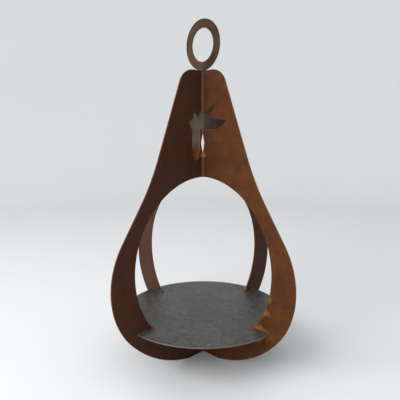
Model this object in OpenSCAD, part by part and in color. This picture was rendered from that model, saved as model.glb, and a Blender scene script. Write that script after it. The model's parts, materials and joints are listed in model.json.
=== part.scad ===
// Hanging lantern of folded and welded sheet steel.
// Two pear-shaped sheets, each folded to a right angle down its middle, stand fold to fold
// and hold a round tray in slots. A flat ring is welded on top.
// Millimetres, +Z up. The origin is the centre of the base, on the surface it stands on.

/* [Frame halves] */
// Width of one pear-shaped sheet, edge to edge along its two fins
sheet_w = 300; // [296:2:310]
// Height of the sheets, without the ring
frame_h = 393; // [385:1:405]
// Thickness of the sheet steel
sheet_t = 2; // [1.5:0.5:2.5]
// Radius inside the fold
fold_r = 4; // [3:0.5:5]
// Radius of the big round opening
opening_r = 116; // [112:1:117]
// Height of the centre of the opening
opening_z = 137; // [135:1:140]

/* [Pear outline] */
// Radius of the arc under the pear
bottom_r = 165; // [160:1:168]
// Radius of the arc round the belly
belly_r = 105; // [102:1:108]
// Height of the centre of the belly's arc
belly_z = 123; // [120:1:124]
// How far up the belly's arc runs above level, in degrees
belly_end = 33; // [31:1:35]
// Lean of the neck's edge from upright, in degrees
neck_lean = 21; // [20:1:22]
// Width of the neck at the top, between its sharp corners
neck_w = 66; // [62:1:70]
// Radius of the hollow blend between belly and neck
blend_r = 290; // [200:10:300]
// Radius of the rounded top corners
corner_r = 25; // [15:1:28]

/* [Tray] */
// Diameter of the round tray
tray_d = 229; // [220:1:230]
// Thickness of the tray
tray_t = 2; // [1.5:0.5:2.5]
// Height of the underside of the tray
tray_z = 63; // [60:1:66]
// Clear height left over the tray in its slots
slot_gap = 0.6; // [0.3:0.1:1]

/* [Ring] */
// Outside diameter of the hanging ring
ring_od = 64; // [60:1:72]
// Diameter of the hole in the ring
ring_id = 42; // [40:1:50]
// Turn of the ring about the upright axis, in degrees
ring_turn = 48; // [40:1:60]
// Lean of the ring out of upright, in degrees
ring_lean = 3; // [0:0.5:4]
// How far the foot of the ring stands to one side of the axis
ring_foot = 1.5; // [0:0.5:2]

/* [Welds] */
// Radius of the beads in the grooves between the two halves
bead_r = 3; // [2.5:0.1:3.4]
// Length of each stitch of weld up the neck
stitch_l = 26; // [20:1:30]
// Radius of the weld under the ring
ring_weld_r = 5; // [4:0.5:6]
// Radius of the tacks between the tray and the fins
tack_r = 3.5; // [3:0.5:4]

/* [Hidden] */
$fn = 96;

// The folds: the outside of each fold touches the other one on the upright axis.
fold_out = fold_r + sheet_t;
// Where the flat fins start, measured along the sheet from the middle of the fold.
fin_start = (fold_r + sheet_t / 2) * PI / 4;
// The four fins stand at these angles round the axis.
fin_turns = [-135, -45, 45, 135];

// Arcs of the outline. The arc under the pear meets the belly's arc smoothly.
belly_c = [sheet_w / 2 - belly_r, belly_z];
bottom_c = [0, belly_z + sqrt(pow(bottom_r - belly_r, 2) - pow(belly_c.x, 2))];
foot_angle = -acos(sqrt(pow(bottom_r, 2) - pow(bottom_c.y, 2)) / bottom_r);
belly_start = atan2(belly_c.y - bottom_c.y, belly_c.x);

// Straight flanks of belly and neck, and the hollow blend where they meet.
belly_high = belly_c + belly_r * along(belly_end);
flank_dir = along(90 + belly_end);
neck_dir = along(90 + neck_lean);
neck_corner = [neck_w / 2, frame_h];
flank_meet = belly_high + flank_dir * cross(neck_corner - belly_high, neck_dir)
    / cross(flank_dir, neck_dir);
blend_run = blend_r * tan((belly_end - neck_lean) / 2);
blend_c = flank_meet - flank_dir * blend_run + blend_r * along(belly_end);
corner_c = [neck_corner.x - corner_r * tan((90 - neck_lean) / 2), frame_h - corner_r];

// The opening's edge is straight across the fold, at two heights rounded to a tenth.
opening_rise = floor(10 * sqrt(pow(opening_r, 2) - pow(fin_start, 2))) / 10;
opening_low = opening_z - opening_rise;
opening_high = opening_z + opening_rise;

// The leaf is cut across the fold of the front half, one outline for each fin. The points
// are distances from the fold and heights. Both meet the fold between the same two heights.
leaf_low = 317;
leaf_high = 340;
leaf_left = [[0, leaf_high], [4, leaf_high], [7.5, 331.5], [15.5, 339.5], [17.5, 330],
    [25, 325.5], [19.5, leaf_low], [19.5, 291], [10, 285.5], [4.5, 288], [4.5, leaf_low],
    [0, leaf_low]];
leaf_right = [[0, leaf_high], [4, leaf_high], [22, 349.5], [13, 332], [44, 327.5], [31, 319],
    [24, leaf_low], [0, leaf_low]];
// A narrow pointed slot runs through both folds under the leaf.
vein_w = 5;
vein_low = 286;
vein_high = 311;

// The neck's stitches stop this far over the opening's edge and under the top.
stitch_ends = [4, 6];
stitch_z = [opening_high + stitch_ends[0], frame_h - stitch_l - stitch_ends[1]];
// Foot and length of the stitches at the base.
base_stitch = [3, 14];
// Distance from the axis to the middle of the bead in a groove.
bead_c = fold_out * cos(45) + 1;
// Gap under the ring, filled by its weld.
root_gap = 0.5;
ring_z = frame_h + root_gap + ring_od / 2;
tray_top = tray_z + tray_t;
// Distance from the axis to the point of the fin over the tray.
tooth_r = sqrt(pow(opening_r, 2) - pow(opening_z - tray_top, 2));

// A direction in the plane, at an angle in degrees.
function along(a) = [cos(a), sin(a)];
// Points along an arc, about one every three degrees.
function arc(c, r, from, to) =
    let (steps = ceil(abs(to - from) / 3))
    [for (i = [0:steps]) c + r * along(from + (to - from) * i / steps)];

// One flat fin as it is cut: pear outline, round opening and the tray's slot, less the
// children. It starts at the fold.
module fin_outline() {
    difference() {
        polygon(concat(
            [[fin_start, 0]],
            arc(bottom_c, bottom_r, foot_angle, belly_start),
            arc(belly_c, belly_r, belly_start, belly_end),
            arc(blend_c, -blend_r, belly_end, neck_lean),
            arc(corner_c, corner_r, neck_lean, 90),
            [[fin_start, frame_h]]));
        intersection() {
            translate([0, opening_z]) circle(opening_r);
            translate([0, opening_low]) square([sheet_w, opening_high - opening_low]);
        }
        translate([0, tray_z]) square([tray_d / 2 + slot_gap, tray_t + slot_gap]);
        children();
    }
}

// A fin stood up along +X, or along +Y where turned is true, from the middle of the fold.
module stand_fin(turned) {
    mirror(turned ? [1, -1, 0] : [0, 0, 0]) translate([-fin_start, -fold_r, 0])
        rotate([90, 0, 0]) linear_extrude(sheet_t) children();
}

// The folded strip between two fins, from one height to another.
module fold(low, high) {
    translate([0, 0, low]) rotate([0, 0, 180]) rotate_extrude(angle = 90)
        translate([fold_r, 0]) square([sheet_t, high - low]);
}

// Turns a half so that its fold touches the axis and its fins point forwards.
module face_front() {
    translate([0, -fold_out, 0]) rotate([0, 0, -135]) children();
}

// The slot through both folds, seen from the front.
module vein() {
    middle = (vein_low + vein_high) / 2;
    translate([0, fold_out, 0]) rotate([90, 0, 0]) linear_extrude(2 * fold_out)
        polygon([[0, vein_low], [vein_w / 2, middle], [0, vein_high], [-vein_w / 2, middle]]);
}

// Front half, with the leaf across its fold.
module frame_front() {
    color("saddlebrown") difference() {
        face_front() union() {
            stand_fin(false) fin_outline() polygon(leaf_left);
            stand_fin(true) fin_outline() polygon(leaf_right);
            fold(0, opening_low);
            fold(opening_high, leaf_low);
            fold(leaf_high, frame_h);
        }
        vein();
    }
}

// Back half, plain but for the slot under the leaf.
module frame_back() {
    color("sienna") difference() {
        rotate([0, 0, 180]) face_front() union() {
            stand_fin(false) fin_outline();
            stand_fin(true) fin_outline();
            fold(0, opening_low);
            fold(opening_high, frame_h);
        }
        vein();
    }
}

// Flat round tray.
module tray() {
    color("dimgray") translate([0, 0, tray_z]) cylinder(d = tray_d, h = tray_t);
}

// Flat ring on edge.
module ring() {
    color("saddlebrown") translate([0, 0, ring_z]) ring_stance() difference() {
        cylinder(d = ring_od, h = sheet_t, center = true);
        cylinder(d = ring_id, h = 2 * sheet_t, center = true);
    }
}

// Turns a flat ring's axis from upright to where the hanging ring's points. It leans about
// its own lowest edge.
module ring_stance() {
    translate([ring_foot, 0, -ring_od / 2]) rotate([0, 0, -ring_turn]) rotate([ring_lean, 0, 0])
        translate([0, 0, ring_od / 2]) rotate([90, 0, 0]) children();
}

// Weld that fills the gap under the ring and climbs both its faces.
module ring_weld() {
    color("peru") difference() {
        translate([0, 0, frame_h]) intersection() {
            sphere(ring_weld_r);
            cylinder(r = 2 * ring_weld_r, h = ring_weld_r);
        }
        ring();
    }
}

// Plan of the groove's weld on one side: a bead cut to the two folds.
module groove_bead() {
    difference() {
        translate([bead_c, 0]) circle(bead_r);
        for (s = [-1, 1]) translate([0, s * fold_out]) {
            circle(fold_out);
            rotate(s * 45) translate([0, -fold_out]) square([6 * fold_out, 2 * fold_out]);
        }
    }
}

// Stitches of weld up both grooves of the neck.
module neck_welds() {
    color("peru") for (side = [0, 180], z = stitch_z)
        rotate([0, 0, side]) translate([0, 0, z]) linear_extrude(stitch_l) groove_bead();
}

// Stitches of weld up both grooves of the base.
module base_welds() {
    color("peru") for (side = [0, 180])
        rotate([0, 0, side]) translate([0, 0, base_stitch[0]])
            linear_extrude(base_stitch[1]) groove_bead();
}

// Four tacks on the tray, one round the point of each fin.
module tray_tacks() {
    color("darkorange") for (a = fin_turns)
        difference() {
            rotate([0, 0, a]) translate([tooth_r, 0, tray_top]) intersection() {
                sphere(tack_r);
                cylinder(r = 2 * tack_r, h = tack_r);
            }
            frame_front();
            frame_back();
        }
}

frame_front();
frame_back();
tray();
ring();
ring_weld();
neck_welds();
base_welds();
tray_tacks();
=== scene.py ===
import json
import math

import bpy
import numpy as np
from mathutils import Matrix, Vector
from mathutils.geometry import delaunay_2d_cdt


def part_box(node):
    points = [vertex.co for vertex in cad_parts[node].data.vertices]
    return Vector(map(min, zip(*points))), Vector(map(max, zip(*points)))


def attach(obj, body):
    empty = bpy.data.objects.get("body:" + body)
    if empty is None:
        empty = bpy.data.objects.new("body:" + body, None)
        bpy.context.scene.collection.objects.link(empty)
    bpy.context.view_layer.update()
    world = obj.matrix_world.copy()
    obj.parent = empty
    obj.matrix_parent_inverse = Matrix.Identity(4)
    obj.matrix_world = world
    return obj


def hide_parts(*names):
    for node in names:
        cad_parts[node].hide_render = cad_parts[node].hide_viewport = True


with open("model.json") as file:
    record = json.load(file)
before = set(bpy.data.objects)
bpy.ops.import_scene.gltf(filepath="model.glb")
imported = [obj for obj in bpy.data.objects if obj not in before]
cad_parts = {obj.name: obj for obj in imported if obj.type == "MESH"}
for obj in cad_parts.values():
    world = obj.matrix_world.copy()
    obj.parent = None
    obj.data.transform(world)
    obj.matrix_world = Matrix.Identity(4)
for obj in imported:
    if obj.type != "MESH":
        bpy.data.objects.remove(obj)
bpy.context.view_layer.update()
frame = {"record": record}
MM = 0.001


# ---------------------------------------------------------------------------------------------
# The two folded sheets.
# Each is a pear cut from 2 mm hot-rolled sheet steel, with a round opening, two slots for the
# tray and, in the front one, a leaf. It is folded to a right angle down its middle, and the two
# stand fold to fold. They were left out to rust and then oiled.
# ---------------------------------------------------------------------------------------------

SHEET_T = 2.0
SHEET_W = 300.0
SHEET_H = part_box("frame_front")[1].z / MM
FOLD_MID = 5.0  # radius of the fold in the middle of the sheet
FOLD_OUT = FOLD_MID + SHEET_T / 2
FOLD_SPAN = FOLD_MID * math.pi / 4  # flat distance from the middle of the fold to its end
EDGE_R = 0.35  # softness that brushing gives the cut edges
SIDE = 2.5  # longest side of the mesh along an edge
FOLD_SIDE = 0.8  # and where an edge crosses the fold
FOLD_COLUMNS = 9  # columns of points round the fold
MESH_GAP = 5.0  # distance between the points elsewhere

OPENING_C = np.array([0.0, 137.0])
OPENING_R = 116.0
BELLY_R = 105.0
BELLY_C = np.array([SHEET_W / 2 - BELLY_R, 123.0])
BELLY_END = 33.0  # degrees above level where the belly's arc ends
BOTTOM_R = 165.0
NECK_LEAN = 21.0  # degrees from upright
NECK_W = 66.0
BLEND_R = 290.0
CORNER_R = 25.0
TRAY_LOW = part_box("tray")[0].z / MM
SLOT_GAP = 0.6
SLOT_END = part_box("tray")[1].x / MM + SLOT_GAP
SLOT_H = SHEET_T + SLOT_GAP

# The leaf, and the narrow slot under it, as distances from the fold and heights.
LEAF = np.array([
    (-4, 340), (-7.5, 331.5), (-15.5, 339.5), (-17.5, 330), (-25, 325.5), (-19.5, 317),
    (-19.5, 291), (-10, 285.5), (-4.5, 288), (-4.5, 317), (24, 317), (31, 319), (44, 327.5),
    (13, 332), (22, 349.5), (4, 340)], float)
VEIN = np.array([(0, 286), (2.6, 298.5), (0, 311), (-2.6, 298.5)], float)


def arc(centre, radius, start, stop):
    """Points on a circle: centre plus radius times (cos a, sin a), with a going evenly from
    start to stop in degrees."""
    count = math.ceil(abs(math.radians(stop - start) * radius) / SIDE) + 1
    a = np.radians(np.linspace(start, stop, count))
    return np.array(centre) + radius * np.column_stack([np.cos(a), np.sin(a)])


def along(angle):
    """The direction at an angle in degrees."""
    return np.array([math.cos(math.radians(angle)), math.sin(math.radians(angle))])


def mirrored(half):
    """A half outline, then its mirror image on the other side of the fold, as one loop."""
    return np.concatenate([half, half[::-1] * (-1, 1)])


def pear_outline():
    """The arc under the pear, the belly's arc, a hollow blend between two straight flanks, and
    the rounded top corner, each tangent to the next."""
    rise = math.sqrt((BOTTOM_R - BELLY_R) ** 2 - BELLY_C[0] ** 2)
    bottom_c = np.array([0.0, BELLY_C[1] + rise])
    foot = -math.degrees(math.asin(bottom_c[1] / BOTTOM_R))
    belly_start = math.degrees(math.atan2(-rise, BELLY_C[0]))
    flank, neck = along(90 + BELLY_END), along(90 + NECK_LEAN)
    belly_high = BELLY_C + BELLY_R * along(BELLY_END)
    neck_corner = np.array([NECK_W / 2, SHEET_H])
    reach = np.linalg.solve(np.column_stack([flank, -neck]), neck_corner - belly_high)[0]
    run = BLEND_R * math.tan(math.radians(BELLY_END - NECK_LEAN) / 2)
    blend_c = belly_high + flank * (reach - run) + BLEND_R * along(BELLY_END)
    inset = CORNER_R * math.tan(math.radians(90 - NECK_LEAN) / 2)
    corner_c = neck_corner - (inset, CORNER_R)
    return mirrored(np.concatenate([
        arc(bottom_c, BOTTOM_R, foot, belly_start),
        arc(BELLY_C, BELLY_R, belly_start, BELLY_END)[1:],
        arc(blend_c, -BLEND_R, BELLY_END, NECK_LEAN),
        arc(corner_c, CORNER_R, NECK_LEAN, 90)]))


def opening_outline():
    """The round opening with a slot for the tray cut out of it on each side."""
    low, high = TRAY_LOW - OPENING_C[1], TRAY_LOW + SLOT_H - OPENING_C[1]
    under = math.degrees(math.asin(low / OPENING_R))
    over = math.degrees(math.asin(high / OPENING_R))
    slot = OPENING_C + np.array([(SLOT_END, low), (SLOT_END, high)])
    half = [arc(OPENING_C, OPENING_R, -90, under)[1:], slot, arc(OPENING_C, OPENING_R, over, 90)]
    return mirrored(np.concatenate(half)[:-1])


def filled_in(loop):
    """The loop with each side cut into equal parts, none longer than SIDE, or than FOLD_SIDE
    where the side reaches the fold."""
    ahead = np.roll(loop, -1, axis=0)
    length = np.linalg.norm(ahead - loop, axis=1)
    apart = np.minimum(np.abs(loop[:, 0]), np.abs(ahead[:, 0])) > 2 * FOLD_SPAN
    clear = apart & (np.sign(loop[:, 0]) == np.sign(ahead[:, 0]))
    parts = np.ceil(length / np.where(clear, SIDE, FOLD_SIDE)).astype(int)
    side = np.repeat(np.arange(len(loop)), parts)
    step = np.arange(parts.sum()) - np.repeat(np.cumsum(parts) - parts, parts)
    share = (step / parts[side])[:, None]
    return loop[side] * (1 - share) + ahead[side] * share


def outward(loop):
    """At each point of a loop, the direction out of the steel, made longer at a corner so that
    the two sides next to it keep their distance. The loop has the steel on its left."""
    side = np.roll(loop, -1, axis=0) - loop
    side /= np.linalg.norm(side, axis=1)[:, None]
    normal = np.column_stack([side[:, 1], -side[:, 0]])
    middle = normal + np.roll(normal, 1, axis=0)
    middle /= np.linalg.norm(middle, axis=1)[:, None]
    return middle / np.maximum((middle * normal).sum(axis=1), 0.4)[:, None]


def edge_distance(points, loops):
    """Distance from each point to the nearest side of any loop."""
    start = np.concatenate(loops)
    along_side = np.concatenate([np.roll(loop, -1, axis=0) for loop in loops]) - start
    away = points[:, None] - start
    share = (away * along_side).sum(axis=2) / (along_side ** 2).sum(axis=1)
    nearest = away - np.clip(share, 0, 1)[..., None] * along_side
    return np.linalg.norm(nearest, axis=2).min(axis=1)


def in_steel(points, loops):
    """True where a line to the right of the point crosses the loops an odd number of times."""
    start = np.concatenate(loops)
    stop = np.concatenate([np.roll(loop, -1, axis=0) for loop in loops])
    x, z = points[:, :1], points[:, 1:]
    spans = (start[:, 1] > z) != (stop[:, 1] > z)
    rise = np.where(stop[:, 1] == start[:, 1], 1, stop[:, 1] - start[:, 1])
    cross_x = start[:, 0] + (z - start[:, 1]) / rise * (stop[:, 0] - start[:, 0])
    return (spans & (cross_x > x)).sum(axis=1) % 2 == 1


def inner_points(loops):
    """A staggered grid of points inside the steel, with closer columns across the fold."""
    rows = np.arange(MESH_GAP / 2, SHEET_H, MESH_GAP * math.sqrt(3) / 2)
    across = np.arange(-SHEET_W / 2, SHEET_W / 2, MESH_GAP)
    s, z = np.meshgrid(across, rows)
    s = s + np.where(np.arange(len(rows)) % 2 == 0, 0, MESH_GAP / 2)[:, None]
    grid = np.column_stack([s.ravel(), z.ravel()])
    grid = grid[np.abs(grid[:, 0]) > FOLD_SPAN + MESH_GAP]
    columns = np.linspace(-FOLD_SPAN, FOLD_SPAN, FOLD_COLUMNS)
    columns = np.concatenate([[-FOLD_SPAN - SIDE], columns, [FOLD_SPAN + SIDE]])
    s, z = np.meshgrid(columns, np.arange(FOLD_SIDE, SHEET_H, SIDE))
    points = np.concatenate([grid, np.column_stack([s.ravel(), z.ravel()])])
    points = points[in_steel(points, loops)]
    room = np.where(np.abs(points[:, 0]) > FOLD_SPAN + SIDE + 1, MESH_GAP / 2, FOLD_SIDE)
    return points[edge_distance(points, loops) > room]


def warp(s, z):
    """How far the sheet bows out of flat: three slow waves, a third of a millimetre in all,
    that fade to nothing at the stiff fold."""
    free = np.clip((np.abs(s) - 10) / 60, 0, 1)
    waves = np.sin(s / 31 + z / 47) + np.sin(z / 29 - s / 53 + 1.3) + np.sin(z / 71 + 2.1)
    return 0.12 * free * waves


def folded(flat, depth):
    """The flat sheet folded up: round an arc of 45 degrees each way from its middle, then
    straight on. depth runs through the sheet, from its middle to the outside of the fold."""
    s, z = flat[..., 0], flat[..., 1]
    turn = np.clip(s / FOLD_MID, -math.pi / 4, math.pi / 4)
    beyond = s - turn * FOLD_MID
    radius = FOLD_MID + depth + warp(s, z)
    x = radius * np.sin(turn) + beyond * np.cos(turn)
    y = radius * np.cos(turn) - beyond * np.sin(turn) - FOLD_OUT
    return np.stack([x, y, z + 0 * x], axis=-1)


def folded_normal(flat, out, through):
    """Unit normal made of a part out of the edge, in the flat, and a part through the sheet.
    The two directions of the sheet come from differences of the folded shape."""
    h = 0.01
    ds = folded(flat + (h, 0), 0) - folded(flat - (h, 0), 0)
    dz = folded(flat + (0, h), 0) - folded(flat - (0, h), 0)
    normal = np.cross(dz, ds)
    parts = out[..., :1] * ds + out[..., 1:] * dz
    length = np.maximum(np.linalg.norm(parts, axis=-1, keepdims=True), 1e-12)
    unit = np.linalg.norm(out, axis=-1, keepdims=True)
    through = through[..., None] * normal / np.linalg.norm(normal, axis=-1, keepdims=True)
    total = parts / length * unit + through
    return total / np.linalg.norm(total, axis=-1, keepdims=True)


def new_piece(name, points, faces, normals=None):
    """A mesh object at the origin from points in millimetres and faces as lists of indices."""
    mesh = bpy.data.meshes.new(name)
    mesh.from_pydata((np.asarray(points) * MM).tolist(), [], faces)
    mesh.polygons.foreach_set("use_smooth", np.full(len(mesh.polygons), True))
    if normals is not None:
        mesh.normals_split_custom_set_from_vertices(normals.tolist())
    mesh.validate()
    piece = bpy.data.objects.new(name, mesh)
    bpy.context.scene.collection.objects.link(piece)
    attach(piece, "root")
    return piece


def add_values(piece, name, values):
    """Stores one number for each point of the piece, for its material to read."""
    attribute = piece.data.attributes.new(name, "FLOAT", "POINT")
    attribute.data.foreach_set("value", np.asarray(values, np.float32))


def sheet_piece(name, holes, half_turn):
    """One folded sheet. Both its faces are the flat outline filled with triangles, and its edges
    are a rounded profile carried round each loop: two quarter circles and a flat between."""
    loops = [filled_in(pear_outline())] + [filled_in(hole)[::-1] for hole in holes]
    miters = np.concatenate([outward(loop) for loop in loops])
    edge = np.concatenate(loops)
    inner = inner_points(loops)
    counts = np.array([len(loop) for loop in loops])
    first = np.repeat(np.cumsum(counts) - counts, counts)
    here = np.arange(len(edge))
    ahead = first + (here - first + 1) % np.repeat(counts, counts)

    flat_face = np.concatenate([edge - EDGE_R * miters, inner])
    sides = np.column_stack([here, ahead]).tolist()
    filled = delaunay_2d_cdt([Vector(p) for p in flat_face], sides, [], 1, 1e-4)
    triangles = np.array(filled[2])
    inset = np.split(flat_face[:len(edge)], np.cumsum(counts)[:-1])
    triangles = triangles[in_steel(flat_face[triangles].mean(axis=1), inset)]

    tilt = np.radians([60, 30, 0, 0, -30, -60])
    out, rise = np.cos(tilt), np.sin(tilt)
    depth = np.repeat([1, -1], 3) * (SHEET_T / 2 - EDGE_R) + rise * EDGE_R
    rim_flat = edge + (out[:, None, None] - 1) * EDGE_R * miters
    rim = folded(rim_flat, depth[:, None])
    rim_normal = folded_normal(rim_flat, out[:, None, None] * miters, rise[:, None] + 0 * here)

    face_count = len(flat_face)
    none = np.zeros((face_count, 2))
    upright = np.ones(face_count)
    points = np.concatenate([
        folded(flat_face, SHEET_T / 2), folded(flat_face, -SHEET_T / 2), rim.reshape(-1, 3)])
    normals = np.concatenate([
        folded_normal(flat_face, none, upright), folded_normal(flat_face, none, -upright),
        rim_normal.reshape(-1, 3)])
    if half_turn:
        points = points * (-1, -1, 1)
        normals = normals * (-1, -1, 1)

    rows = [2 * face_count + len(edge) * row for row in range(len(out))]
    rows = [0] + rows + [face_count]
    quads = [
        np.column_stack([upper + here, upper + ahead, lower + ahead, lower + here])
        for upper, lower in zip(rows, rows[1:])]
    faces = triangles[:, ::-1].tolist() + (triangles + face_count).tolist()
    faces += np.concatenate(quads).tolist()
    piece = new_piece(name, points, faces, normals)

    to_edge = edge_distance(flat_face, loops)
    at_rim = np.zeros(rim.shape[:2]).ravel()
    add_values(piece, "edge_mm", np.concatenate([to_edge, to_edge, at_rim]))
    all_flat = np.concatenate([flat_face, flat_face, rim_flat.reshape(-1, 2)])
    corner = np.zeros(len(piece.data.loops), int)
    piece.data.loops.foreach_get("vertex_index", corner)
    layer = piece.data.uv_layers.new(name="flat_sheet")
    layer.data.foreach_set("uv", (all_flat[corner] * MM).astype(np.float32).ravel())
    return piece


front_sheet = sheet_piece("front_sheet", [opening_outline(), LEAF, VEIN], half_turn=False)
back_sheet = sheet_piece("back_sheet", [opening_outline(), VEIN], half_turn=True)
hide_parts("frame_front")
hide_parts("frame_back")


def colour(code):
    """An sRGB hex colour as linear light, with alpha."""
    srgb = [int(code[i:i + 2], 16) / 255 for i in (1, 3, 5)]
    return [c / 12.92 if c <= 0.04045 else ((c + 0.055) / 1.055) ** 2.4 for c in srgb] + [1.0]


def add(tree, kind, values=None, links=None, **settings):
    """One shader node: settings are its own properties, values its fixed sockets, and links the
    sockets that other nodes' outputs feed."""
    made = tree.nodes.new("ShaderNode" + kind)
    for name, value in settings.items():
        setattr(made, name, value)
    for name, value in (values or {}).items():
        made.inputs[name].default_value = value
    for name, source in (links or {}).items():
        tree.links.new(source, made.inputs[name])
    return made


def new_material(name):
    """An empty node material with its output, and the tree that goes with it."""
    material = bpy.data.materials.new(name)
    material.use_nodes = True
    material.node_tree.nodes.clear()
    return material, material.node_tree


def remapped(tree, value, low, high, to_low, to_high):
    """The value, carried from one range to another and held at its ends."""
    return add(tree, "MapRange", {"From Min": low, "From Max": high, "To Min": to_low,
                                  "To Max": to_high}, {"Value": value}).outputs["Result"]


def noise(tree, place, size, detail=4.0, stretch=(1.0, 1.0, 1.0)):
    """Noise whose clouds are about that size, in millimetres, longer where stretch is over 1."""
    scale = [1 / (size * MM * part) for part in stretch]
    spot = add(tree, "Mapping", {"Scale": scale}, {"Vector": place}).outputs["Vector"]
    return add(tree, "TexNoise", {"Scale": 1.0, "Detail": detail, "Roughness": 0.6},
               {"Vector": spot}).outputs["Fac"]


def blended(tree, share, first, second):
    """One colour over another. second is a fixed colour, as hex, and shows where share is 1.
    The Mix node's sockets 0, 6 and 7 are its share and its two colours."""
    return add(tree, "Mix", {7: colour(second)}, {0: share, 6: first}, data_type="RGBA").outputs[2]


def two_tone(tree, value, low, high, first, second):
    """A ramp from one hex colour at a low value to another at a high one."""
    ramp = add(tree, "ValToRGB", links={"Fac": value})
    for stop, at, code in zip(ramp.color_ramp.elements, (low, high), (first, second)):
        stop.position = at
        stop.color = colour(code)
    return ramp.outputs["Color"]


def nearness(tree, place, spots):
    """1 at the middle of each (x, y, z, reach) spot, in millimetres, falling to 0 at its reach."""
    total = None
    for *middle, reach in spots:
        away = add(tree, "VectorMath", {1: [c * MM for c in middle]}, {0: place},
                   operation="DISTANCE").outputs["Value"]
        near = remapped(tree, away, 0.0, reach * MM, 1.0, 0.0)
        if total is not None:
            near = add(tree, "Math", links={0: near, 1: total}, operation="MAXIMUM").outputs[0]
        total = near
    return total


def ragged(tree, patches, near, most):
    """The share of a bloom, a patch of scale or a painted reflection: most of it close in, broken
    up by patches further out.
    """
    spread = add(tree, "Math", {1: 1.5}, {0: patches, 2: near},
                 operation="MULTIPLY_ADD").outputs["Value"]
    return remapped(tree, spread, 1.05, 1.6, 0.0, most)


# Each place is (x, y, z, reach) in millimetres. Orange rust has broken out where the oil was
# burnt or rubbed off: at the feet of the fins on the right, along the inside of the opening
# there, and under the leaf.
BLOOMS = [(80, -80, 108, 9), (75, -75, 90, 12), (69, -70, 60, 24), (65, 65, 65, 12),
          (-6, -10, 283, 13), (0, -3, 283, 7)]
# The back sheet is still grey behind the leaf.
SCALE_LEFT = [(1, 8, 328, 36), (-7, 8, 304, 24)]


def rusted_sheet_steel(name, deep, light, orange=0.4, painted_fold_highlight=0.45, scale_left=0.0):
    """Hot-rolled steel with an even brown rust, oiled to a dull sheen, with painted shade on the
    fins to one side of each fold and painted light on the others. deep and light are the rust's two
    browns. The rest are shares from 0 to 1: of orange in its patches, of the painted highlight
    along the fold, and of grey mill scale left behind the leaf."""
    material, tree = new_material(name)
    place = add(tree, "TexCoord").outputs["Object"]
    flat = add(tree, "UVMap", uv_map="flat_sheet").outputs["UV"]
    edge = add(tree, "Attribute", attribute_name="edge_mm").outputs["Fac"]
    across = add(tree, "SeparateXYZ", links={"Vector": flat}).outputs["X"]

    # Slow clouds, patches, grains, and stains that water drew down the sheet.
    clouds = noise(tree, place, 60, 3.0)
    patches = noise(tree, place, 14, 5.0)
    grains = noise(tree, place, 1.6, 3.0)
    runs = noise(tree, flat, 16, 4.0, (1.0, 5.0, 1.0))

    # The fins to one side of each fold are painted darker, with less orange on them, and those on
    # the other side lighter:
    # painted shade on the fins that face away from the key light, and painted light on those that
    # face it.
    side = remapped(tree, across, -50 * MM, 50 * MM, -0.12, 0.12)
    tone = add(tree, "Math", links={0: clouds, 1: side}, operation="ADD").outputs["Value"]
    body = two_tone(tree, tone, 0.38, 0.62, deep, light)
    body = blended(tree, remapped(tree, runs, 0.45, 0.7, 0.0, 0.5), body, "#3d1f13")
    near_edge = remapped(tree, edge, 0.0, 30.0, 0.08, 0.0)
    thick = add(tree, "Math", links={0: patches, 1: near_edge}, operation="ADD").outputs["Value"]
    # The same painted light and shade also puts more orange on the lit fins and less on the shaded
    # ones.
    thick = add(tree, "Math", links={0: thick, 1: side}, operation="ADD").outputs["Value"]
    body = blended(tree, remapped(tree, thick, 0.55, 0.85, 0.0, orange), body, "#6c3a12")

    # The cut edge had no scale over it, and rusted orange.
    rim = remapped(tree, edge, 0.05, 0.3, 0.3, 0.0)
    body = blended(tree, rim, body, "#8a5420")

    # A paler stripe is painted down the middle of the fold, on both faces: a painted highlight
    # where the inside of the fold catches the light.
    bend = add(tree, "Math", links={0: across}, operation="ABSOLUTE").outputs["Value"]
    body = blended(tree, remapped(tree, bend, 1.3 * MM, 2.5 * MM, painted_fold_highlight, 0.0), body, "#6a4a3d")

    # Orange blooms, and what is left of the scale.
    bloom = ragged(tree, patches, nearness(tree, place, BLOOMS), 0.75)
    body = blended(tree, bloom, body, "#99602f")
    kept = ragged(tree, patches, nearness(tree, place, SCALE_LEFT), scale_left)
    body = blended(tree, kept, body, "#4b4339")

    speckle = remapped(tree, grains, 0.3, 0.7, 0.78, 1.22)
    shown = add(tree, "VectorMath", links={0: body, "Scale": speckle},
                operation="SCALE").outputs["Vector"]
    rough = remapped(tree, patches, 0.3, 0.7, 0.48, 0.7)
    height = add(tree, "Math", {1: 0.3}, {0: grains, 2: patches},
                 operation="MULTIPLY_ADD").outputs["Value"]
    relief = add(tree, "Bump", {"Strength": 0.35, "Distance": 0.0006},
                 {"Height": height}).outputs["Normal"]
    steel = add(tree, "BsdfPrincipled", {"Metallic": 0.0, "Specular IOR Level": 0.09},
                {"Base Color": shown, "Roughness": rough, "Normal": relief})
    add(tree, "OutputMaterial", links={"Surface": steel.outputs["BSDF"]})
    return material


front_sheet.data.materials.append(rusted_sheet_steel("rusted_front_sheet", "#40281f", "#462914"))
back_sheet.data.materials.append(rusted_sheet_steel("rusted_back_sheet", "#40281f", "#3f2c27",
                                                    orange=0.3, scale_left=1.0))


# ---------------------------------------------------------------------------------------------
# The tray.
# A disc cut from the same sheet and slid into the fins' slots. It was kept dry, so it still has
# the blue-grey mill scale that hot rolling leaves, scuffed by handling.
# ---------------------------------------------------------------------------------------------

TRAY_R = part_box("tray")[1].x / MM
TRAY_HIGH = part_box("tray")[1].z / MM
ROUND_STEPS = 192
CUT_ROOM = 0.05  # cut edges stay this far inside their nominal line
BOW_ROOM = 0.15  # and the tray's faces this far inside theirs, which leaves room for its bow


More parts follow.
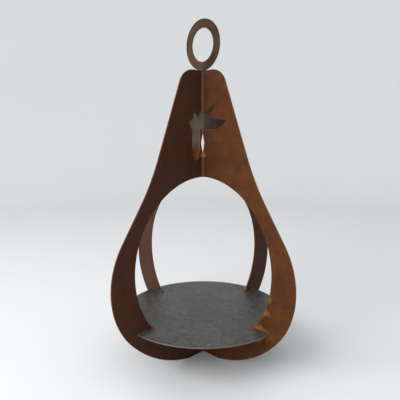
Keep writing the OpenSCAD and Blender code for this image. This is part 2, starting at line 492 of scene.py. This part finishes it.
def grid_faces(rows, columns, ring=False):
    """Quads between the rows of a grid whose last column meets its first. ring says that its
    last row meets its first too."""
    row, column = np.meshgrid(np.arange(rows if ring else rows - 1), np.arange(columns),
                              indexing="ij")
    row, column = row.ravel(), column.ravel()
    above, beside = (row + 1) % rows, (column + 1) % columns
    corners = [(row, column), (row, beside), (above, beside), (above, column)]
    return np.column_stack([r * columns + c for r, c in corners]).tolist()


def turned(name, profile, bow):
    """A profile of (radius, height) points carried round the upright axis. bow(x, y) is added
    to the height. The profile's two ends are on the axis and become the poles."""
    angle = np.linspace(0, 2 * math.pi, ROUND_STEPS, endpoint=False)
    radius, height = profile[1:-1, :1], profile[1:-1, 1:]
    x, y = radius * np.cos(angle), radius * np.sin(angle)
    rings = np.stack([x, y, height + bow(x, y)], axis=-1).reshape(-1, 3)
    ends = np.array([(0, 0, h + bow(0, 0)) for h in (profile[0, 1], profile[-1, 1])])
    rows = len(profile) - 2
    faces = grid_faces(rows, ROUND_STEPS)
    low, high = len(rings), len(rings) + 1
    top = (rows - 1) * ROUND_STEPS
    faces += [(low, (i + 1) % ROUND_STEPS, i) for i in range(ROUND_STEPS)]
    faces += [(high, top + i, top + (i + 1) % ROUND_STEPS) for i in range(ROUND_STEPS)]
    return new_piece(name, np.concatenate([rings, ends]), faces)


def tray_bow(x, y):
    """The tray is a tenth of a millimetre out of flat, in two slow waves."""
    return 0.06 * (np.sin(np.asarray(x) / 37 + 0.7) + np.sin(np.asarray(y) / 43 + x / 90))


def plate_profile(radius, low, high, edge):
    """Half the section of a disc: the underside, an edge with rounded corners, and the top."""
    spread = np.linspace(0, radius - edge, 24)
    corner = np.radians(np.linspace(-90, 0, 5))
    under = np.column_stack([spread, np.full(24, low)])
    lower = np.column_stack([np.cos(corner), np.sin(corner)]) * edge + (radius - edge, low + edge)
    upper = lower[::-1] * (1, -1) + (0, low + high)
    over = under[::-1] + (0, high - low)
    return np.concatenate([under, lower[1:], upper, over[1:]])


section = plate_profile(TRAY_R - CUT_ROOM, TRAY_LOW + BOW_ROOM, TRAY_HIGH - BOW_ROOM, EDGE_R)
tray = turned("tray_plate", section, tray_bow)
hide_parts("tray")

# Brown is painted on the tray round the feet of the fins: painted reflections of the rusty fins.
# Each place is (x, y, z, reach), as before.
FIN_REFLECTIONS = [(side * 64.0, turn * 66.0, TRAY_HIGH, 13) for side in (-1, 1) for turn in (-1, 1)]


def mill_scale_steel():
    """Hot-rolled sheet with its scale on: a hard dark oxide with half the gloss of bare steel,
    clouded where it is thicker, marked with short dark dashes from the rolls, bare and bright on
    its cut edge, and with brown painted round where the fins stand on it as painted reflections of
    the fins."""
    material, tree = new_material("mill_scale_steel")
    place = add(tree, "TexCoord").outputs["Object"]
    clouds = noise(tree, place, 45, 5.0)
    mottle = noise(tree, place, 9, 4.0)
    dashes = noise(tree, place, 4, 3.0, (1.5, 1.0, 1.0))
    grains = noise(tree, place, 1.2, 2.0)

    body = two_tone(tree, clouds, 0.32, 0.68, "#353534", "#4c4b47")
    body = blended(tree, remapped(tree, mottle, 0.45, 0.7, 0.0, 0.5), body, "#6b6a63")
    body = blended(tree, remapped(tree, dashes, 0.57, 0.63, 0.0, 0.85), body, "#1e1d1c")
    # Painted reflection: brown round the feet of the fins.
    fin_reflection = ragged(tree, mottle, nearness(tree, place, FIN_REFLECTIONS), 0.6)
    body = blended(tree, fin_reflection, body, "#6a4029")

    # The cut edge is bare: everything further out than the start of its rounding.
    level = add(tree, "VectorMath", {1: (1.0, 1.0, 0.0)}, {0: place},
                operation="MULTIPLY").outputs["Vector"]
    radius = add(tree, "VectorMath", links={0: level}, operation="LENGTH").outputs["Value"]
    bare = remapped(tree, radius, (TRAY_R - 2 * EDGE_R) * MM, (TRAY_R - EDGE_R / 2) * MM, 0.0, 1.0)
    body = blended(tree, bare, body, "#615a53")

    rough = remapped(tree, mottle, 0.3, 0.7, 0.36, 0.54)
    height = add(tree, "Math", {1: 0.4}, {0: grains, 2: mottle},
                 operation="MULTIPLY_ADD").outputs["Value"]
    relief = add(tree, "Bump", {"Strength": 0.2, "Distance": 0.0004},
                 {"Height": height}).outputs["Normal"]
    steel = add(tree, "BsdfPrincipled", {"Metallic": 0.35},
                {"Base Color": body, "Roughness": rough, "Normal": relief})
    add(tree, "OutputMaterial", links={"Surface": steel.outputs["BSDF"]})
    return material


tray.data.materials.append(mill_scale_steel())


# ---------------------------------------------------------------------------------------------
# The hanging ring.
# A flat ring cut from the same sheet, stood on edge on the neck and welded at its foot. It is
# rusted like the sheets.
# ---------------------------------------------------------------------------------------------

hang = next(m for m in frame["record"]["mounts"] if m["name"] == "hang_ring")
RING_IN = hang["dims"]["r_mm"]
RING_BAND = 11.0
RING_OUT = RING_IN + RING_BAND
ring_place = Matrix.Translation(Vector(hang["pos_m"]) / MM) @ (
    Vector(hang["axis"]).to_track_quat("Z", "Y").to_matrix().to_4x4())


def ring_piece(name):
    """A rounded rectangle carried round the ring's own axis, then stood where the hook goes. The
    cut wanders inwards by up to a tenth of a millimetre, as a hand-guided one does."""
    corner = np.radians(90 * np.arange(4)[:, None] + np.linspace(0, 90, 4))
    wide, thick = RING_BAND / 2 - EDGE_R, SHEET_T / 2 - EDGE_R
    across = wide * np.array([1, -1, -1, 1])[:, None] + EDGE_R * np.cos(corner)
    through = thick * np.array([1, 1, -1, -1])[:, None] + EDGE_R * np.sin(corner)
    angle = np.linspace(0, 2 * math.pi, ROUND_STEPS, endpoint=False)[:, None]
    wander = CUT_ROOM * (np.sin(7 * angle) * np.sin(3 * angle) - 1)
    radius = (RING_OUT + RING_IN) / 2 + across.ravel() + wander
    points = np.stack([radius * np.cos(angle), radius * np.sin(angle),
                       through.ravel() + 0 * angle], axis=-1).reshape(-1, 3)
    points = points @ np.array(ring_place.to_3x3()).T + np.array(ring_place.translation)
    faces = np.array(grid_faces(ROUND_STEPS, across.size, ring=True))[:, ::-1]
    return new_piece(name, points, faces.tolist())


ring = ring_piece("hanging_ring")
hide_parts("ring")
add_values(ring, "edge_mm", np.full(len(ring.data.vertices), RING_BAND))
ring.data.materials.append(rusted_sheet_steel("rusted_ring", "#2f261e", "#503d2c",
                                              orange=0.3, painted_fold_highlight=0.0))


# ---------------------------------------------------------------------------------------------
# The welds.
# Short beads of weld metal laid by hand: stitches up the grooves between the two folds, a tack
# at the foot of each fin on the tray, and a lump under the ring. Rust has started on them.
# ---------------------------------------------------------------------------------------------

GROOVE_C = FOLD_OUT * math.cos(math.pi / 4) + 1  # from the axis to the middle of a groove's bead
GROOVE_BEAD_R = 3.0
STITCH_L = 26.0
RIPPLE = 2.2  # distance between the ripples of a hand-laid bead


def bead(low, high, radius, facing):
    """A closed tube from low to high, rounded off at its ends. Its radius swells and shrinks by a
    fourteenth with each ripple, and the ripples bend like fish scales on the side it faces."""
    rows, columns = math.ceil((high[2] - low[2]) / RIPPLE) * 6, 16
    share = np.linspace(0, 1, rows + 2)[1:-1, None]
    angle = np.linspace(0, 2 * math.pi, columns, endpoint=False)
    length = high[2] - low[2]
    ripple = np.cos(2 * math.pi * share * length / RIPPLE - 1.4 * np.cos(angle - facing))
    wander = 0.05 * np.sin(share * length / 3.1 + low[0])
    size = radius * (1 - np.abs(2 * share - 1) ** 10) ** 0.5 * (1 + 0.07 * ripple + wander)
    x = low[0] + size * np.cos(angle)
    y = low[1] + size * np.sin(angle)
    rings = np.stack([x, y, low[2] + share * length + 0 * angle], axis=-1).reshape(-1, 3)
    return closed_ends(rings, rows, columns, low, high)


def closed_ends(rings, rows, columns, first, last):
    """Points and faces of a tube of rings, closed to a pole at each end."""
    beside = np.arange(columns)
    after = (beside + 1) % columns
    top = (rows - 1) * columns
    faces = grid_faces(rows, columns)
    faces += np.column_stack([after, beside, 0 * beside + len(rings)]).tolist()
    faces += np.column_stack([top + beside, top + after, 0 * beside + len(rings) + 1]).tolist()
    return np.concatenate([rings, [first, last]]), faces


def mound(centre, radius, high, sunk):
    """A lump of weld: half an ellipsoid over its foot and a flatter half sunk in the steel, with
    rings of ripples and five uneven lobes."""
    rows, columns = 20, 40
    fall = np.linspace(math.pi, 0, rows + 2)[1:-1, None]
    angle = np.linspace(0, 2 * math.pi, columns, endpoint=False)
    lobes = 1 + 0.06 * np.sin(5 * angle + centre[0]) + 0.04 * np.sin(3 * angle + centre[1])
    spread = radius * np.sin(fall) * lobes * (1 + 0.04 * np.cos(14 * fall)) / 1.14
    rise = np.where(fall < math.pi / 2, high, sunk) * np.cos(fall)
    rings = np.stack([centre[0] + spread * np.cos(angle), centre[1] + spread * np.sin(angle),
                      centre[2] + rise + 0 * angle], axis=-1).reshape(-1, 3)
    centre = np.array(centre)
    return closed_ends(rings, rows, columns, centre - (0, 0, sunk), centre + (0, 0, high))


def welded(name, parts, node):
    """Several beads or mounds as one piece that stands for a CAD node."""
    starts = np.cumsum([0] + [len(points) for points, _ in parts])
    faces = [[start + i for i in face] for start, (_, some) in zip(starts, parts) for face in some]
    piece = new_piece(name, np.concatenate([points for points, _ in parts]), faces)
    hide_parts(node)
    piece.data.materials.append(weld_metal)
    return piece


def rusted_weld_metal():
    """Mild steel weld metal: a dull dark brown where its scale has flaked off, blotched with orange
    rust."""
    material, tree = new_material("rusted_weld_metal")
    place = add(tree, "TexCoord").outputs["Object"]
    blotches = noise(tree, place, 3)
    tone = two_tone(tree, blotches, 0.35, 0.65, "#33241c", "#5d3820")
    relief = add(tree, "Bump", {"Strength": 0.3, "Distance": 0.0004},
                 {"Height": blotches}).outputs["Normal"]
    steel = add(tree, "BsdfPrincipled", {"Metallic": 0.2, "Roughness": 0.55},
                {"Base Color": tone, "Normal": relief})
    add(tree, "OutputMaterial", links={"Surface": steel.outputs["BSDF"]})
    return material


weld_metal = rusted_weld_metal()



def groove_beads(name, node, spans):
    """Beads in both side grooves, one for each span of heights, facing away from the axis."""
    beads = [
        bead((side * GROOVE_C, 0, low), (side * GROOVE_C, 0, high), GROOVE_BEAD_R, facing)
        for side, facing in ((-1, math.pi), (1, 0)) for low, high in spans]
    welded(name, beads, node)


# The neck has two stitches on each side, one at each end of its weld's height. The base has one.
neck_low, neck_high = (corner.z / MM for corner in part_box("neck_welds"))
base_low, base_high = (corner.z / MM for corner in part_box("base_welds"))
groove_beads("neck_weld_beads", "neck_welds",
             [(neck_low, neck_low + STITCH_L), (neck_high - STITCH_L, neck_high)])
groove_beads("base_weld_beads", "base_welds", [(base_low, base_high)])

TOOTH = math.sqrt(OPENING_R ** 2 - (OPENING_C[1] - TRAY_HIGH) ** 2)
TACK_R = 3.5
TACK_HIGH = 2.4
TACK_SUNK = 0.5
teeth = [folded(np.array([side * TOOTH, TRAY_HIGH]), 0) * (turn, turn, 1)
         for side in (-1, 1) for turn in (-1, 1)]
tacks = [mound(tooth, TACK_R, TACK_HIGH, TACK_SUNK) for tooth in teeth]
welded("tray_tack_welds", tacks, "tray_tacks")

RING_WELD_R = 5.0
RING_WELD_HIGH = 4.6
RING_WELD_SUNK = 0.8
lump = mound((0, 0, SHEET_H), RING_WELD_R, RING_WELD_HIGH, RING_WELD_SUNK)
welded("ring_weld_bead", [lump], "ring_weld")


# ---------------------------------------------------------------------------------------------
# The studio.
# A pale floor that sweeps up all round into a pale wall, a large soft light high on the left, and
# a camera a little above the lantern's middle, looking slightly down.
# ---------------------------------------------------------------------------------------------

FLOOR_FLAT = 1.5
SWEEP_R = 0.6
WALL_HIGH = 2.4


def floor_piece():
    """A bowl: a small disc, flat rings out to FLOOR_FLAT, a quarter circle up, then an upright
    wall."""
    bend = np.radians(np.linspace(0, 90, 25))
    curve = np.column_stack([FLOOR_FLAT + SWEEP_R * np.sin(bend), SWEEP_R * (1 - np.cos(bend))])
    profile = np.concatenate([[(0.02, 0), (0.3, 0)], curve, [(FLOOR_FLAT + SWEEP_R, WALL_HIGH)]])
    angle = np.linspace(0, 2 * math.pi, ROUND_STEPS, endpoint=False)
    radius, height = profile[:, :1], profile[:, 1:]
    points = np.stack([radius * np.cos(angle), radius * np.sin(angle), height + 0 * angle], axis=-1)
    mesh = bpy.data.meshes.new("floor")
    faces = grid_faces(len(profile), ROUND_STEPS) + [list(range(ROUND_STEPS))[::-1]]
    mesh.from_pydata(points.reshape(-1, 3).tolist(), [], [face[::-1] for face in faces])
    mesh.polygons.foreach_set("use_smooth", np.full(len(mesh.polygons), True))
    piece = bpy.data.objects.new("floor", mesh)
    bpy.context.scene.collection.objects.link(piece)
    return piece


floor = floor_piece()
paper, paper_tree = new_material("pale_paper")
pale = add(paper_tree, "BsdfPrincipled", {"Base Color": colour("#e4e5e6"), "Roughness": 0.9})
add(paper_tree, "OutputMaterial", links={"Surface": pale.outputs["BSDF"]})
floor.data.materials.append(paper)


def soft_light(name, place, target, size, power):
    """A square light of that size, in metres, aimed at a point."""
    lamp = bpy.data.lights.new(name, "AREA")
    lamp.shape = "SQUARE"
    lamp.size = size
    lamp.energy = power
    holder = bpy.data.objects.new(name, lamp)
    bpy.context.scene.collection.objects.link(holder)
    holder.location = place
    holder.visible_camera = False
    holder.rotation_euler = (Vector(target) - Vector(place)).to_track_quat("-Z", "Y").to_euler()


KEY_PLACE = (-1.05, -1.0, 1.0)
KEY_SIZE = 1.1
KEY_POWER = 26.5
soft_light("key_light", KEY_PLACE, (0.0, 0.0, SHEET_H * MM / 2), KEY_SIZE, KEY_POWER)

sky = bpy.data.worlds.new("sky")
bpy.context.scene.world = sky
sky.use_nodes = True
sky.node_tree.nodes["Background"].inputs["Color"].default_value = colour("#f0f1f2")
sky.node_tree.nodes["Background"].inputs["Strength"].default_value = 0.94
bpy.context.scene.view_settings.view_transform = "Standard"

CAMERA_PLACE = Vector((0.0, -0.5569, 0.2996))
CAMERA_DOWN = math.radians(8.03)
CAMERA_LEFT = math.radians(0.41)
CAMERA_ROLL = math.radians(-0.25)
CAMERA_LENS = 36.74
camera_data = bpy.data.cameras.new("camera")
camera_data.sensor_width = 36.0
camera_data.lens = CAMERA_LENS
camera = bpy.data.objects.new("camera", camera_data)
bpy.context.scene.collection.objects.link(camera)
camera.location = CAMERA_PLACE
turn = Matrix.Rotation(CAMERA_LEFT, 4, "Z") @ Matrix.Rotation(math.pi / 2 - CAMERA_DOWN, 4, "X")
camera.rotation_euler = (turn @ Matrix.Rotation(CAMERA_ROLL, 4, "Z")).to_euler()
bpy.context.scene.camera = camera
